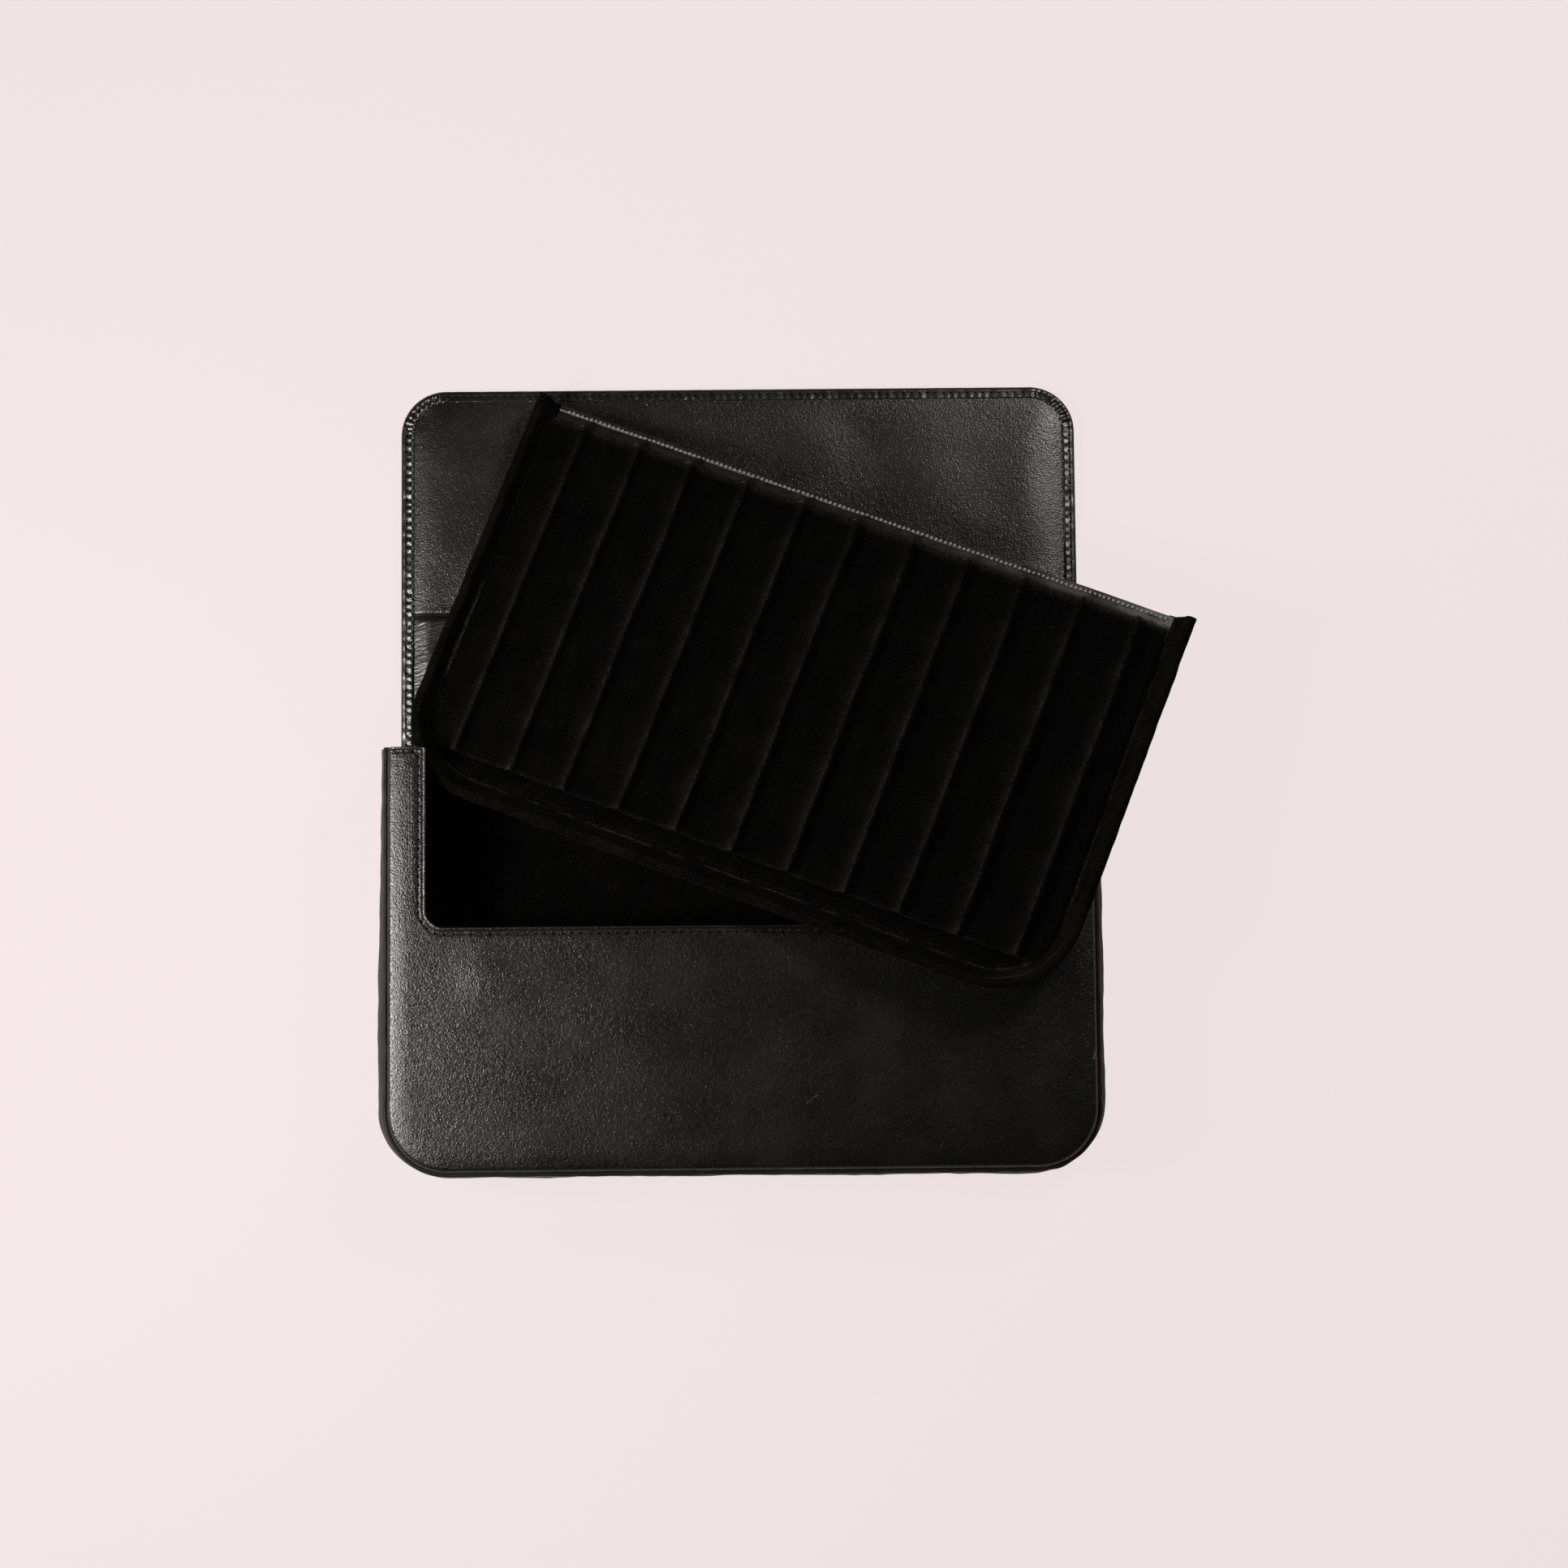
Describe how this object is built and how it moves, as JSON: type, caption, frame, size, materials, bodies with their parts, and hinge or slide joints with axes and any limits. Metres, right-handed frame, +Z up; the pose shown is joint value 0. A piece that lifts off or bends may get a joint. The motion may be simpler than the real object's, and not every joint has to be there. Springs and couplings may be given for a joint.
{
  "type": "jewellery case",
  "caption": "Soft black leather jewellery case with a fold-over flap, a wide cut-out in its front panel and a loose shallow suede tray with a pleated floor for rings.",
  "frame": {"origin": "middle of the case's flat back face, which lies on the table", "axes": "+Z up out of the table from the back of the case, +Y from the bottom of the case towards the open flap, +X to the right seen from above"},
  "size_m": [0.2712, 0.2704, 0.0533],
  "materials": {
    "case_leather": "satin",
    "inside_leather": "satin",
    "lining_suede": "matte",
    "tray_suede": "matte",
    "stiffener": "matte",
    "padding": "matte"
  },
  "bodies": {
    "case": {"back_cover": "case_leather", "back_board": "stiffener", "back_lining": "lining_suede", "front_cover": "case_leather", "front_board": "stiffener", "front_lining": "lining_suede", "gusset": "case_leather", "gusset_lining": "lining_suede", "front_welt": "case_leather", "back_welt": "case_leather"},
    "flap_spine": {"spine_cover": "case_leather", "spine_felt": "padding", "spine_lining": "inside_leather", "spine_binding": "inside_leather"},
    "flap": {"flap_cover": "case_leather", "flap_felt": "padding", "flap_board": "stiffener", "flap_lining": "inside_leather", "flap_binding": "inside_leather", "pocket_panel": "inside_leather", "pocket_padding": "padding"},
    "tray": {"tray_base_cover": "inside_leather", "tray_base_board": "stiffener", "tray_floor_lining": "tray_suede", "tray_wall_suede": "tray_suede", "tray_wall_board": "stiffener", "tray_wall_padding": "padding", "lip_facing": "inside_leather", "pleat_backing": "padding", "pleat_sheet": "tray_suede", "pleats": "tray_suede"}
  },
  "joints": [
    {"name": "tray_lift", "type": "slide", "parent": "case", "child": "tray", "axis": [0.5895, 0.2563, 0.766], "range_m": [0, 0.48]},
    {"name": "spine_fold", "type": "hinge", "parent": "case", "child": "flap_spine", "pos_m": [0, 0.0709, 0.0037], "axis": [1, 0, 0], "range_deg": [0, 90]},
    {"name": "flap_fold", "type": "hinge", "parent": "flap_spine", "child": "flap", "pos_m": [0, 0.1029, 0.0037], "axis": [1, 0, 0], "range_deg": [0, 90]}
  ],
  "couplings": [
    {"joint": "spine_fold", "follows": "tray_lift", "rad_per_m": 3.27},
    {"joint": "flap_fold", "follows": "tray_lift", "rad_per_m": 3.27}
  ]
}
